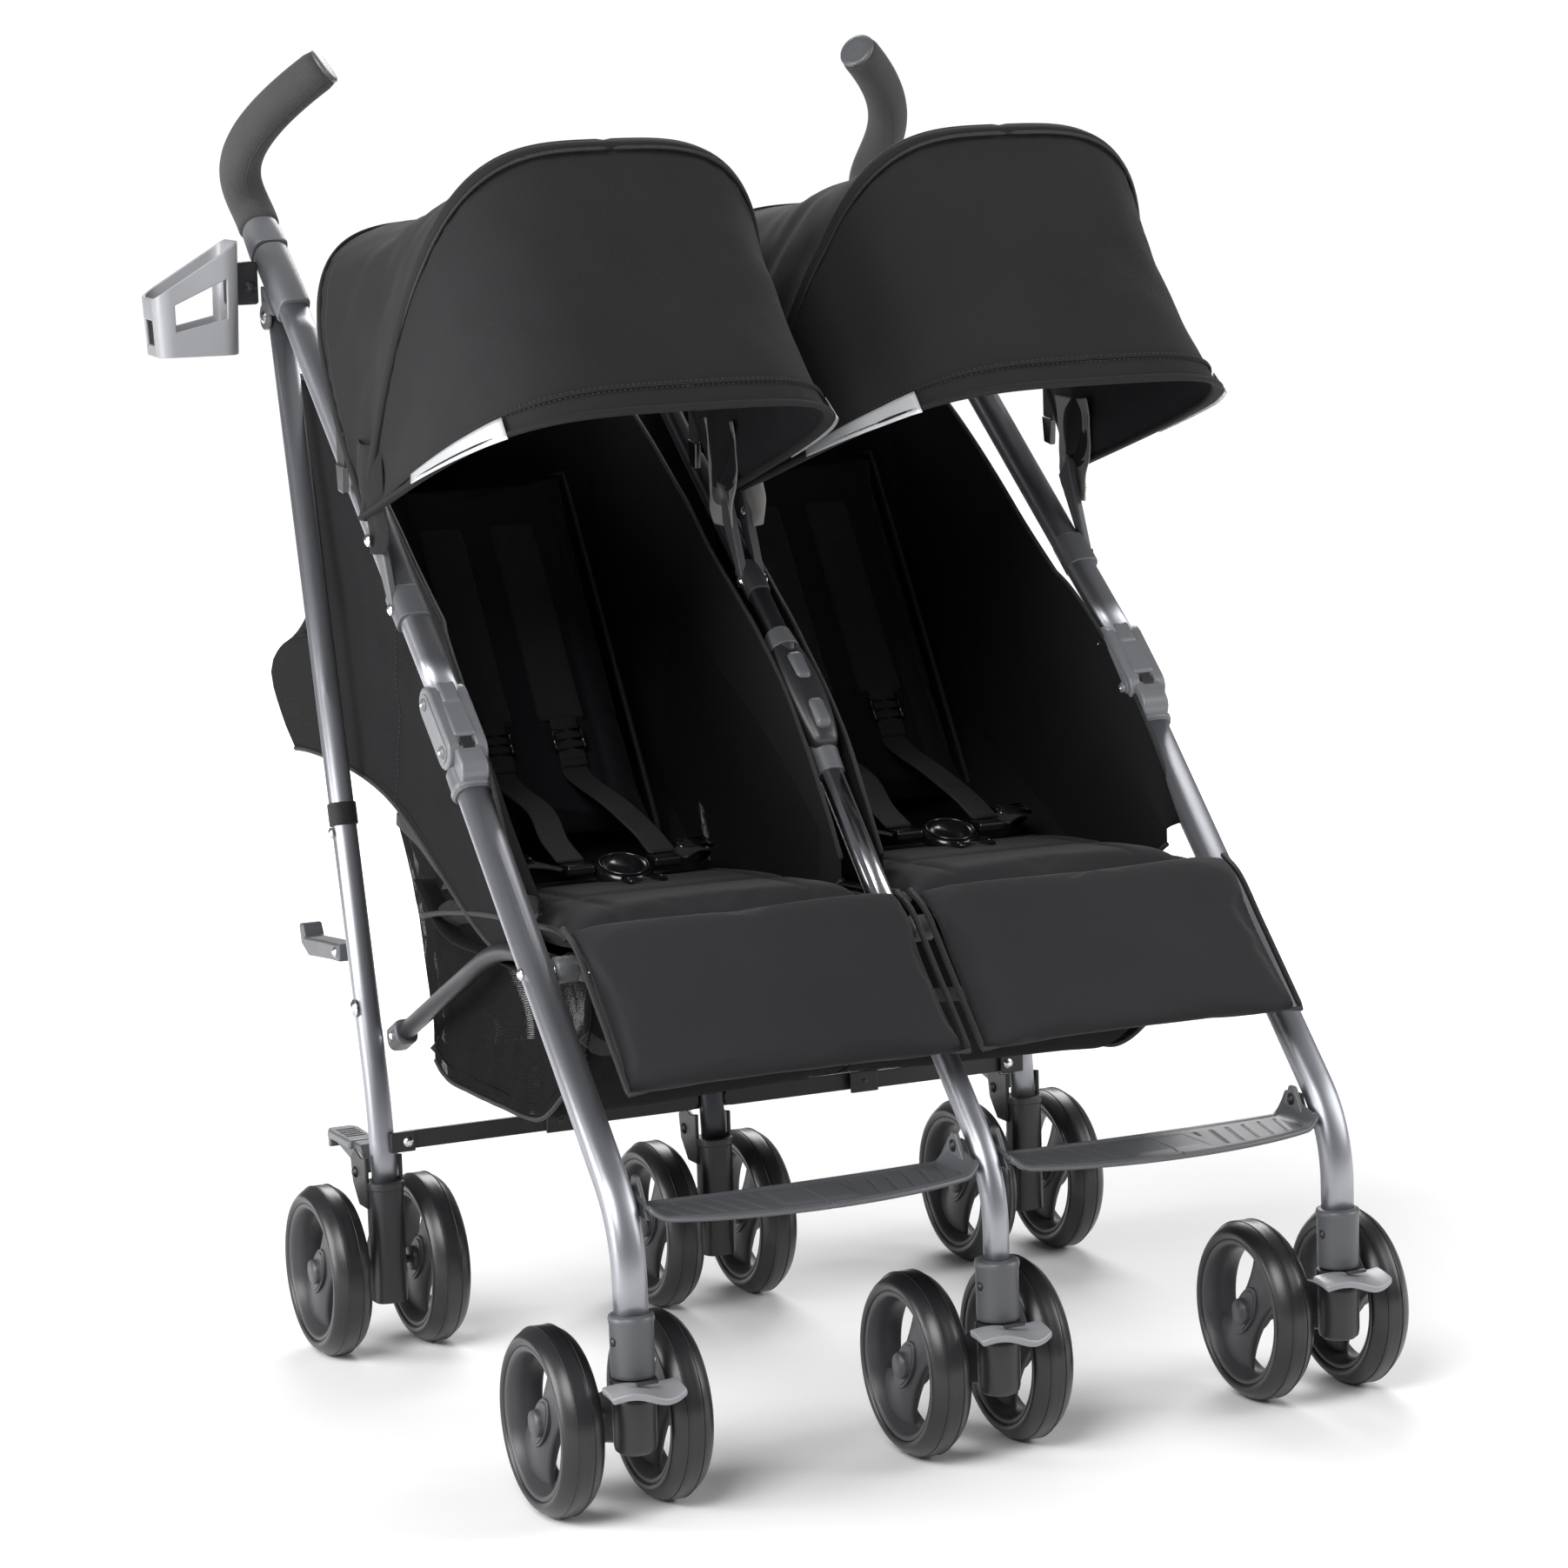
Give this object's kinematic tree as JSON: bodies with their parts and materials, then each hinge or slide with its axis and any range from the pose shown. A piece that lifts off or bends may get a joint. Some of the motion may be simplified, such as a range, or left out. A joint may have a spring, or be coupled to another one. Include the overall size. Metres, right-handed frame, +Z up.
{
  "type": "side-by-side umbrella stroller",
  "caption": "Folding side-by-side umbrella stroller with reclining fabric seats, hooped canopies, curved foam grips, folding footrests, under-seat basket and paired caster wheels.",
  "frame": {"origin": "on the floor, under the middle of the overall box; the centre plane of the frame is at x = +23.2 mm because the cup holder widens only the left side, and the middle of the wheelbase is at y = -98.4 mm", "axes": "+Z up, -Y the way the children face and the stroller rolls, +X across to the left hand side of a seated child"},
  "size_m": [0.8026, 0.9529, 1.1357],
  "materials": {
    "gunmetal_tube": "satin gunmetal anodised",
    "grey_plastic": "moulded, fine grain",
    "black_plastic": "moulded, satin",
    "black_steel": "black powder coat",
    "tyre": "solid foam rubber tyre on a black moulded rim",
    "foam": "closed cell foam sleeve",
    "canopy_cloth": "woven polyester",
    "seat_cloth": "woven polyester over padding",
    "net": "open mesh"
  },
  "bodies": {
    "frame_center": {"front_leg_center": "gunmetal_tube", "calf_pad_left": "seat_cloth", "calf_pad_right": "seat_cloth", "basket": "net"},
    "frame_left": {"front_leg_left": "gunmetal_tube"},
    "frame_right": {"front_leg_right": "gunmetal_tube"},
    "upper_left": {"upper_tube_left": "gunmetal_tube", "collar_left": "grey_plastic", "grip_left": "foam", "cup_holder": "grey_plastic"},
    "upper_center": {"upper_tube_center": "gunmetal_tube", "hammock_left": "seat_cloth", "hammock_right": "seat_cloth"},
    "upper_right": {"upper_tube_right": "gunmetal_tube", "collar_right": "grey_plastic", "grip_right": "foam"},
    "rear_left": {"rear_leg_left": "gunmetal_tube", "rear_housing_left": "black_plastic"},
    "rail_left": {"seat_rail_left": "gunmetal_tube"},
    "caster_left": {"caster_fork_left": "black_plastic"},
    "lock_left": {"swivel_lock_left": "grey_plastic"},
    "rear_center": {"rear_leg_center": "gunmetal_tube", "rear_housing_center": "black_plastic"},
    "rail_center": {"seat_rail_center": "gunmetal_tube", "seat_pad_left": "seat_cloth", "seat_pad_right": "seat_cloth"},
    "caster_center": {"caster_fork_center": "black_plastic"},
    "lock_center": {"swivel_lock_center": "grey_plastic"},
    "rear_right": {"rear_leg_right": "gunmetal_tube", "rear_housing_right": "black_plastic"},
    "rail_right": {"seat_rail_right": "gunmetal_tube"},
    "caster_right": {"caster_fork_right": "black_plastic"},
    "lock_right": {"swivel_lock_right": "grey_plastic"},
    "front_wheel_left_a": {"wheel_front_left_a": "tyre"},
    "front_wheel_left_b": {"wheel_front_left_b": "tyre"},
    "front_wheel_center_a": {"wheel_front_center_a": "tyre"},
    "front_wheel_center_b": {"wheel_front_center_b": "tyre"},
    "front_wheel_right_a": {"wheel_front_right_a": "tyre"},
    "front_wheel_right_b": {"wheel_front_right_b": "tyre"},
    "rear_wheel_left_a": {"wheel_rear_left_a": "tyre"},
    "rear_wheel_left_b": {"wheel_rear_left_b": "tyre"},
    "rear_wheel_center_a": {"wheel_rear_center_a": "tyre"},
    "rear_wheel_center_b": {"wheel_rear_center_b": "tyre"},
    "rear_wheel_right_a": {"wheel_rear_right_a": "tyre"},
    "rear_wheel_right_b": {"wheel_rear_right_b": "tyre"},
    "hood_left": {"canopy_left": "canopy_cloth"},
    "recline_left": {"backrest_left": "seat_cloth"},
    "brake_left": {"brake_pedal_left": "grey_plastic"},
    "footrest_left_outer": {"footrest_left_outer": "grey_plastic"},
    "rear_link_left_outer": {"rear_link_left_outer": "black_steel"},
    "footrest_left_inner": {"footrest_left_inner": "grey_plastic"},
    "rear_link_left_inner": {"rear_link_left_inner": "black_steel"},
    "hood_right": {"canopy_right": "canopy_cloth"},
    "recline_right": {"backrest_right": "seat_cloth"},
    "brake_right": {"brake_pedal_right": "grey_plastic"},
    "footrest_right_outer": {"footrest_right_outer": "grey_plastic"},
    "rear_link_right_outer": {"rear_link_right_outer": "black_steel"},
    "footrest_right_inner": {"footrest_right_inner": "grey_plastic"},
    "rear_link_right_inner": {"rear_link_right_inner": "black_steel"},
    "fold_catch": {"fold_lever": "grey_plastic"}
  },
  "joints": [
    {"name": "fold_left", "type": "slide", "parent": "frame_center", "child": "frame_left", "axis": [1, 0, 0], "range_m": [0, 0.18], "deforming": ["hammock_left", "hammock_right", "backrest_left", "backrest_right", "seat_pad_left", "seat_pad_right", "calf_pad_left", "calf_pad_right", "canopy_left", "canopy_right", "basket"]},
    {"name": "fold_right", "type": "slide", "parent": "frame_center", "child": "frame_right", "axis": [-1, 0, 0], "range_m": [-0.001, 0.181]},
    {"name": "knuckle_left", "type": "hinge", "parent": "frame_left", "child": "upper_left", "pos_m": [-0.2918, -0.0984, 0.57], "axis": [1, 0, 0], "range_deg": [-1, 6.7]},
    {"name": "knuckle_center", "type": "hinge", "parent": "frame_center", "child": "upper_center", "pos_m": [0.0232, -0.0984, 0.57], "axis": [1, 0, 0], "range_deg": [-1, 6.7]},
    {"name": "knuckle_right", "type": "hinge", "parent": "frame_right", "child": "upper_right", "pos_m": [0.3382, -0.0984, 0.57], "axis": [1, 0, 0], "range_deg": [-1, 6.7]},
    {"name": "rear_leg_pivot_left", "type": "hinge", "parent": "upper_left", "child": "rear_left", "pos_m": [-0.2918, 0.3396, 0.9022], "axis": [-1, 0, 0], "range_deg": [-1, 29]},
    {"name": "rear_leg_pivot_center", "type": "hinge", "parent": "upper_center", "child": "rear_center", "pos_m": [0.0232, 0.3396, 0.9022], "axis": [-1, 0, 0], "range_deg": [-1, 29]},
    {"name": "rear_leg_pivot_right", "type": "hinge", "parent": "upper_right", "child": "rear_right", "pos_m": [0.3382, 0.3396, 0.9022], "axis": [-1, 0, 0], "range_deg": [-1, 29]},
    {"name": "seat_rail_pivot_left", "type": "hinge", "parent": "frame_left", "child": "rail_left", "pos_m": [-0.2918, -0.2504, 0.406], "axis": [1, 0, 0], "range_deg": [-1, 63]},
    {"name": "seat_rail_pivot_center", "type": "hinge", "parent": "frame_center", "child": "rail_center", "pos_m": [0.0232, -0.2504, 0.406], "axis": [1, 0, 0], "range_deg": [-1, 63]},
    {"name": "seat_rail_pivot_right", "type": "hinge", "parent": "frame_right", "child": "rail_right", "pos_m": [0.3382, -0.2504, 0.406], "axis": [1, 0, 0], "range_deg": [-1, 63]},
    {"name": "footrest_hinge_left_outer", "type": "hinge", "parent": "frame_left", "child": "footrest_left_outer", "pos_m": [-0.2698, -0.3984, 0.237], "axis": [0, -1, 0], "range_deg": [-1, 72]},
    {"name": "footrest_hinge_left_inner", "type": "hinge", "parent": "frame_center", "child": "footrest_left_inner", "pos_m": [0.0047, -0.3984, 0.237], "axis": [0, 1, 0], "range_deg": [-1, 72]},
    {"name": "footrest_hinge_right_outer", "type": "hinge", "parent": "frame_right", "child": "footrest_right_outer", "pos_m": [0.3162, -0.3984, 0.237], "axis": [0, 1, 0], "range_deg": [-1, 72]},
    {"name": "footrest_hinge_right_inner", "type": "hinge", "parent": "frame_center", "child": "footrest_right_inner", "pos_m": [0.0417, -0.3984, 0.237], "axis": [0, -1, 0], "range_deg": [-1, 72]},
    {"name": "rear_link_hinge_left_outer", "type": "hinge", "parent": "rear_left", "child": "rear_link_left_outer", "pos_m": [-0.2718, 0.1346, 0.19], "axis": [0, -1, 0], "range_deg": [-1, 72]},
    {"name": "rear_link_hinge_left_inner", "type": "hinge", "parent": "rear_center", "child": "rear_link_left_inner", "pos_m": [0.0032, 0.1406, 0.19], "axis": [0, 1, 0], "range_deg": [-1, 72]},
    {"name": "rear_link_hinge_right_outer", "type": "hinge", "parent": "rear_right", "child": "rear_link_right_outer", "pos_m": [0.3182, 0.1346, 0.19], "axis": [0, 1, 0], "range_deg": [-1, 72]},
    {"name": "rear_link_hinge_right_inner", "type": "hinge", "parent": "rear_center", "child": "rear_link_right_inner", "pos_m": [0.0432, 0.1406, 0.19], "axis": [0, -1, 0], "range_deg": [-1, 72]},
    {"name": "caster_swivel_left", "type": "hinge", "parent": "frame_left", "child": "caster_left", "pos_m": [-0.2918, -0.4214, 0.1], "axis": [0, 0, 1], "continuous": true},
    {"name": "swivel_lock_left_tip", "type": "hinge", "parent": "caster_left", "child": "lock_left", "pos_m": [-0.2918, -0.4414, 0.112], "axis": [1, 0, 0], "range_deg": [0, 15]},
    {"name": "caster_swivel_center", "type": "hinge", "parent": "frame_center", "child": "caster_center", "pos_m": [0.0232, -0.4214, 0.1], "axis": [0, 0, 1], "continuous": true},
    {"name": "swivel_lock_center_tip", "type": "hinge", "parent": "caster_center", "child": "lock_center", "pos_m": [0.0232, -0.4414, 0.112], "axis": [1, 0, 0], "range_deg": [0, 15]},
    {"name": "caster_swivel_right", "type": "hinge", "parent": "frame_right", "child": "caster_right", "pos_m": [0.3382, -0.4214, 0.1], "axis": [0, 0, 1], "continuous": true},
    {"name": "swivel_lock_right_tip", "type": "hinge", "parent": "caster_right", "child": "lock_right", "pos_m": [0.3382, -0.4414, 0.112], "axis": [1, 0, 0], "range_deg": [0, 15]},
    {"name": "front_wheel_left_a_spin", "type": "hinge", "parent": "caster_left", "child": "front_wheel_left_a", "pos_m": [-0.3374, -0.3624, 0.075], "axis": [1, 0, 0], "continuous": true},
    {"name": "front_wheel_left_b_spin", "type": "hinge", "parent": "caster_left", "child": "front_wheel_left_b", "pos_m": [-0.2462, -0.3624, 0.075], "axis": [1, 0, 0], "continuous": true},
    {"name": "front_wheel_center_a_spin", "type": "hinge", "parent": "caster_center", "child": "front_wheel_center_a", "pos_m": [-0.0224, -0.3624, 0.075], "axis": [1, 0, 0], "continuous": true},
    {"name": "front_wheel_center_b_spin", "type": "hinge", "parent": "caster_center", "child": "front_wheel_center_b", "pos_m": [0.0688, -0.3624, 0.075], "axis": [1, 0, 0], "continuous": true},
    {"name": "front_wheel_right_a_spin", "type": "hinge", "parent": "caster_right", "child": "front_wheel_right_a", "pos_m": [0.2926, -0.3624, 0.075], "axis": [1, 0, 0], "continuous": true},
    {"name": "front_wheel_right_b_spin", "type": "hinge", "parent": "caster_right", "child": "front_wheel_right_b", "pos_m": [0.3838, -0.3624, 0.075], "axis": [1, 0, 0], "continuous": true},
    {"name": "rear_wheel_left_a_spin", "type": "hinge", "parent": "rear_left", "child": "rear_wheel_left_a", "pos_m": [-0.3374, 0.1656, 0.075], "axis": [1, 0, 0], "continuous": true},
    {"name": "rear_wheel_left_b_spin", "type": "hinge", "parent": "rear_left", "child": "rear_wheel_left_b", "pos_m": [-0.2462, 0.1656, 0.075], "axis": [1, 0, 0], "continuous": true},
    {"name": "rear_wheel_center_a_spin", "type": "hinge", "parent": "rear_center", "child": "rear_wheel_center_a", "pos_m": [-0.0224, 0.1656, 0.075], "axis": [1, 0, 0], "continuous": true},
    {"name": "rear_wheel_center_b_spin", "type": "hinge", "parent": "rear_center", "child": "rear_wheel_center_b", "pos_m": [0.0688, 0.1656, 0.075], "axis": [1, 0, 0], "continuous": true},
    {"name": "rear_wheel_right_a_spin", "type": "hinge", "parent": "rear_right", "child": "rear_wheel_right_a", "pos_m": [0.2926, 0.1656, 0.075], "axis": [1, 0, 0], "continuous": true},
    {"name": "rear_wheel_right_b_spin", "type": "hinge", "parent": "rear_right", "child": "rear_wheel_right_b", "pos_m": [0.3838, 0.1656, 0.075], "axis": [1, 0, 0], "continuous": true},
    {"name": "canopy_pivot_left", "type": "hinge", "parent": "upper_center", "child": "hood_left", "pos_m": [-0.1478, 0.0506, 0.746], "axis": [-1, 0, 0], "range_deg": [0, 50], "deforming": ["canopy_left"]},
    {"name": "recline_left", "type": "hinge", "parent": "upper_center", "child": "recline_left", "pos_m": [-0.1328, 0.1106, 0.434], "axis": [1, 0, 0], "range_deg": [-8, 10], "deforming": ["backrest_left", "hammock_left"]},
    {"name": "brake_pedal_left_tip", "type": "hinge", "parent": "rear_left", "child": "brake_left", "pos_m": [-0.2918, 0.1636, 0.16], "axis": [-1, 0, 0], "range_deg": [0, 18]},
    {"name": "canopy_pivot_right", "type": "hinge", "parent": "upper_center", "child": "hood_right", "pos_m": [0.1942, 0.0506, 0.746], "axis": [-1, 0, 0], "range_deg": [0, 50], "deforming": ["canopy_right"]},
    {"name": "recline_right", "type": "hinge", "parent": "upper_center", "child": "recline_right", "pos_m": [0.1792, 0.1106, 0.434], "axis": [1, 0, 0], "range_deg": [-8, 10], "deforming": ["backrest_right", "hammock_right"]},
    {"name": "brake_pedal_right_tip", "type": "hinge", "parent": "rear_right", "child": "brake_right", "pos_m": [0.3382, 0.1636, 0.16], "axis": [-1, 0, 0], "range_deg": [0, 18]},
    {"name": "fold_catch_tip", "type": "hinge", "parent": "rear_left", "child": "fold_catch", "pos_m": [-0.2918, 0.2046, 0.349], "axis": [-1, 0, 0], "range_deg": [0, 25]}
  ],
  "couplings": [
    {"joint": "fold_right", "follows": "fold_left", "ratio": 1},
    {"joint": "knuckle_left", "follows": "fold_left", "rad_per_m": 0.5527},
    {"joint": "knuckle_center", "follows": "fold_left", "rad_per_m": 0.5527},
    {"joint": "knuckle_right", "follows": "fold_left", "rad_per_m": 0.5527},
    {"joint": "rear_leg_pivot_left", "follows": "fold_left", "rad_per_m": 2.715},
    {"joint": "rear_leg_pivot_center", "follows": "fold_left", "rad_per_m": 2.715},
    {"joint": "rear_leg_pivot_right", "follows": "fold_left", "rad_per_m": 2.715},
    {"joint": "seat_rail_pivot_left", "follows": "fold_left", "rad_per_m": 6.0117},
    {"joint": "seat_rail_pivot_center", "follows": "fold_left", "rad_per_m": 6.0117},
    {"joint": "seat_rail_pivot_right", "follows": "fold_left", "rad_per_m": 6.0117},
    {"joint": "footrest_hinge_left_outer", "follows": "fold_left", "rad_per_m": 6.8843},
    {"joint": "footrest_hinge_left_inner", "follows": "fold_left", "rad_per_m": 6.8843},
    {"joint": "footrest_hinge_right_outer", "follows": "fold_left", "rad_per_m": 6.8843},
    {"joint": "footrest_hinge_right_inner", "follows": "fold_left", "rad_per_m": 6.8843},
    {"joint": "rear_link_hinge_left_outer", "follows": "fold_left", "rad_per_m": 6.8843},
    {"joint": "rear_link_hinge_left_inner", "follows": "fold_left", "rad_per_m": 6.8843},
    {"joint": "rear_link_hinge_right_outer", "follows": "fold_left", "rad_per_m": 6.8843},
    {"joint": "rear_link_hinge_right_inner", "follows": "fold_left", "rad_per_m": 6.8843}
  ]
}
